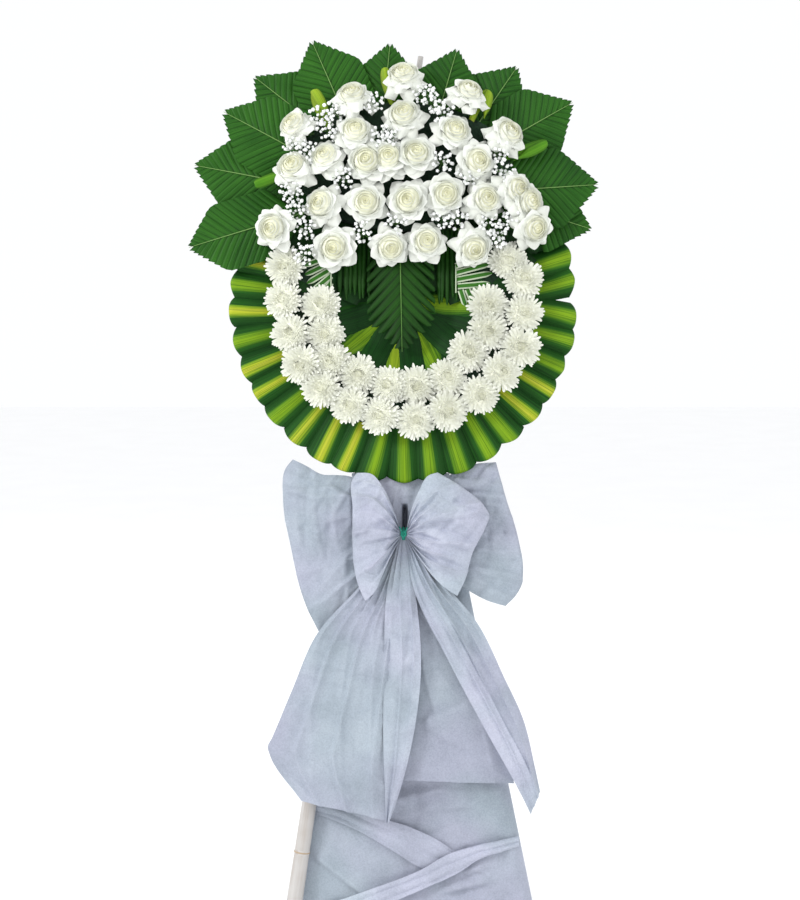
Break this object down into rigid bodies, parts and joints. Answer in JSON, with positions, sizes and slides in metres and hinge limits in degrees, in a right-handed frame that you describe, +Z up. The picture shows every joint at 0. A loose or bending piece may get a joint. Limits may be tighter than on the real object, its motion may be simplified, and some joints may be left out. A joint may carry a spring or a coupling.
{
  "type": "funeral wreath",
  "caption": "White rose and chrysanthemum funeral wreath with palm fronds on a bamboo tripod, tied with a pale cloth bow and wrap",
  "frame": {"origin": "middle of the bounding box at floor level, under the wreath", "axes": "+Z up, front toward -Y, +X to the right of a viewer in front"},
  "size_m": [0.854, 1.0008, 1.849],
  "materials": {
    "bamboo": "satin",
    "cord": "matte",
    "wire": "satin",
    "styrene": "matte",
    "floral_foam": "matte",
    "striped_leaf": "satin",
    "palm_leaf": "satin",
    "yellow_green_leaf": "satin",
    "rose_petal": "matte",
    "chrysanthemum_petal": "matte",
    "green_string": "matte",
    "cloth": "matte"
  },
  "bodies": {
    "root": {"accent_leaf_1": "yellow_green_leaf", "accent_leaf_2": "yellow_green_leaf", "accent_leaf_3": "yellow_green_leaf", "accent_leaf_4": "yellow_green_leaf", "accent_leaf_5": "yellow_green_leaf", "bow_back": "cloth", "bow_front": "cloth", "bow_string": "green_string", "bow_tails": "cloth", "centre_leaves": "striped_leaf", "chrysanthemum_group_1": "chrysanthemum_petal", "chrysanthemum_group_2": "chrysanthemum_petal", "chrysanthemum_group_3": "chrysanthemum_petal", "chrysanthemum_group_4": "chrysanthemum_petal", "chrysanthemum_group_5": "chrysanthemum_petal", "chrysanthemum_group_6": "chrysanthemum_petal", "chrysanthemum_group_7": "chrysanthemum_petal", "chrysanthemum_group_8": "chrysanthemum_petal", "chrysanthemum_group_9": "chrysanthemum_petal", "cross_rail": "bamboo", "foam_board": "styrene", "frond_01": "palm_leaf", "frond_02": "palm_leaf", "frond_03": "palm_leaf", "frond_04": "palm_leaf", "frond_05": "palm_leaf", "frond_06": "palm_leaf", "frond_07": "palm_leaf", "frond_08": "palm_leaf", "frond_09": "palm_leaf", "frond_10": "palm_leaf", "frond_11": "palm_leaf", "frond_front": "palm_leaf", "frond_front_left": "palm_leaf", "frond_front_right": "palm_leaf", "lashing_left": "cord", "lashing_right": "cord", "lashing_top": "cord", "leaf_ruffle": "striped_leaf", "leg_wrap": "cloth", "pole_left": "bamboo", "pole_rear": "bamboo", "pole_right": "bamboo", "ring_foam": "floral_foam", "rose_bunch_01": "rose_petal", "rose_bunch_02": "rose_petal", "rose_bunch_03": "rose_petal", "rose_bunch_04": "rose_petal", "rose_bunch_05": "rose_petal", "rose_bunch_06": "rose_petal", "rose_bunch_07": "rose_petal", "rose_bunch_08": "rose_petal", "rose_bunch_09": "rose_petal", "rose_bunch_10": "rose_petal", "rose_bunch_11": "rose_petal", "rose_foam": "floral_foam", "tie_left": "wire", "tie_right": "wire"}
  },
  "joints": []
}
